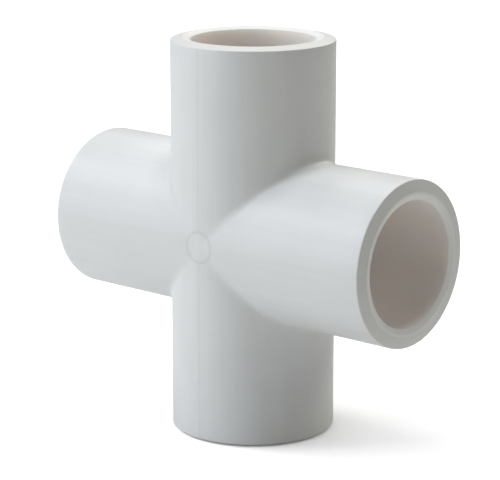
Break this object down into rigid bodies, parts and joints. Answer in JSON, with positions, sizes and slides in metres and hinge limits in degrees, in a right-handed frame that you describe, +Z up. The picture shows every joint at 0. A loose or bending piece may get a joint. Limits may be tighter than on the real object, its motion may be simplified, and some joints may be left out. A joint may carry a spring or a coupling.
{
  "type": "equal cross pipe fitting",
  "caption": "White solvent-cement cross fitting for 20 mm pressure pipe, with plain tapered sockets meeting at right angles round one open waterway.",
  "frame": {"origin": "where the four bore axes meet, which is the centre of the fitting's box", "axes": "+Z up the upright run, +X out of the right arm, -Y out of the face that carries the gate mark"},
  "size_m": [0.0644, 0.0264, 0.0644],
  "materials": {
    "pvc_moulding": "satin white rigid PVC-U as moulded, with a fine parting line and a round gate mark"
  },
  "bodies": {
    "root": {"centre_body": "pvc_moulding", "upper_socket": "pvc_moulding", "lower_socket": "pvc_moulding", "left_socket": "pvc_moulding", "right_socket": "pvc_moulding"}
  },
  "joints": []
}
